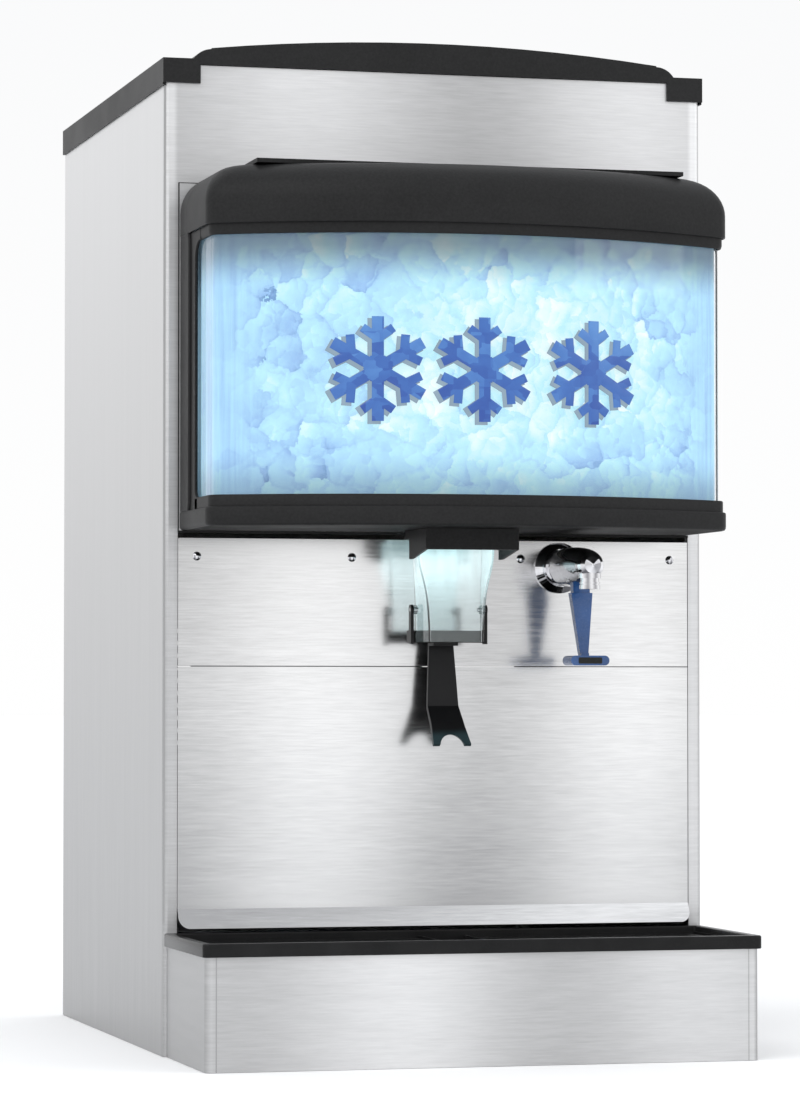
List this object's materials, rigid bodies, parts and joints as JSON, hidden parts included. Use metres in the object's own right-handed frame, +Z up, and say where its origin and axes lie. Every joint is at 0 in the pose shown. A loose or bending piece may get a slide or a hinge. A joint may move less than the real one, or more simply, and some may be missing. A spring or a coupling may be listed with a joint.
{
  "type": "countertop ice and water dispenser",
  "caption": "Countertop ice and water dispenser: stainless cabinet, lift-off lid, lit bow-front display, clear ice chute with push lever, chrome water tap and drip tray.",
  "frame": {"origin": "on the counter, under the centre of the machine's outline", "axes": "+X to the right seen from the front, -Y to the front (drip tray and display), +Z up"},
  "size_m": [0.564, 0.7729, 1.0134],
  "materials": {
    "stainless": "horizontal brushed",
    "galvanised": "galvanised sheet",
    "black_moulding": "fine leather grain",
    "black_gloss": "satin",
    "foam_gasket": "closed cell foam",
    "white_plastic": "smooth",
    "foam": "rigid foam",
    "aluminium": "as cast",
    "steel": "plain",
    "motor_paint": "satin",
    "chrome": "polished",
    "brass": "plain",
    "copper_tube": "drawn copper",
    "clear": "clear moulded plastic",
    "lens": "clear acrylic",
    "graphic": "translucent printed film, back lit",
    "emblem": "blue film",
    "lamp": "frosted tube",
    "blue_plastic": "satin",
    "rubber": "matt"
  },
  "bodies": {
    "cabinet": {"base_pan": "galvanised", "leg_nuts": "steel", "left_side_panel": "stainless", "right_side_panel": "stainless", "rear_panel": "galvanised", "rear_screws": "steel", "front_frame": "stainless", "top_frame": "stainless", "upper_splash_panel": "stainless", "lower_splash_panel": "stainless", "splash_screws": "chrome", "hopper_liner": "white_plastic", "hopper_insulation": "foam", "cold_plate": "aluminium", "gearmotor": "motor_paint", "motor_bracket": "steel", "gate_solenoid": "motor_paint", "bin_drain_tube": "white_plastic", "display_gasket": "foam_gasket", "display_back_pan": "stainless", "display_hood": "black_moulding", "hood_cover": "black_moulding", "display_bezel": "black_moulding", "left_side_trim": "black_moulding", "right_side_trim": "black_moulding", "display_lens": "lens", "ice_graphic": "graphic", "ice_emblems": "emblem", "lamp_tube": "lamp", "lamp_holders": "white_plastic", "ice_throat": "black_moulding", "ice_shroud": "black_moulding", "ice_chute": "clear", "lever_pins": "steel", "lever_switch": "black_gloss", "tap_collar": "chrome", "tap_shank": "chrome", "tap_nut": "brass", "tap_body": "chrome", "tap_nozzle": "chrome", "tap_pin": "steel", "water_tube_rear": "copper_tube", "water_tube_front": "copper_tube", "water_inlet": "brass", "control_box": "galvanised", "power_inlet": "black_gloss", "tray_body": "stainless", "tray_pan": "black_gloss"},
    "lid": {"hopper_lid": "black_moulding"},
    "left_rest": {"left_cup_rest": "black_gloss"},
    "right_rest": {"right_cup_rest": "black_gloss"},
    "ice_lever": {"ice_lever": "black_gloss"},
    "switch_pin": {"switch_plunger": "white_plastic"},
    "tap_handle": {"tap_lever": "blue_plastic", "tap_pad": "blue_plastic", "tap_pad_insert": "rubber"},
    "agitator": {"agitator_shaft": "steel", "agitator_arms": "steel"},
    "gate": {"ice_gate": "stainless", "gate_plunger": "steel"}
  },
  "joints": [
    {"name": "lid_lift", "type": "slide", "parent": "cabinet", "child": "lid", "axis": [0, 0, 1], "range_m": [0, 0.3]},
    {"name": "left_rest_lift", "type": "slide", "parent": "cabinet", "child": "left_rest", "axis": [0, 0, 1], "range_m": [0, 0.1]},
    {"name": "right_rest_lift", "type": "slide", "parent": "cabinet", "child": "right_rest", "axis": [0, 0, 1], "range_m": [0, 0.1]},
    {"name": "ice_lever_push", "type": "hinge", "parent": "cabinet", "child": "ice_lever", "pos_m": [-0.002, -0.2335, 0.441], "axis": [1, 0, 0], "range_deg": [0, 10], "stiffness_Nm_per_rad": 0.8, "springref_deg": -6.88},
    {"name": "switch_travel", "type": "slide", "parent": "cabinet", "child": "switch_pin", "axis": [0, 1, 0], "range_m": [0, 0.0045]},
    {"name": "tap_push", "type": "hinge", "parent": "cabinet", "child": "tap_handle", "pos_m": [0.128, -0.2555, 0.4708], "axis": [1, 0, 0], "range_deg": [0, 14], "stiffness_Nm_per_rad": 0.6, "springref_deg": -5.73},
    {"name": "agitator_spin", "type": "hinge", "parent": "cabinet", "child": "agitator", "pos_m": [0, 0.0915, 0.68], "axis": [0, 1, 0], "continuous": true},
    {"name": "gate_lift", "type": "slide", "parent": "cabinet", "child": "gate", "axis": [0, 0, 1], "range_m": [0, 0.045]}
  ],
  "couplings": [
    {"joint": "switch_travel", "follows": "ice_lever_push", "m_per_rad": 0.0245}
  ]
}
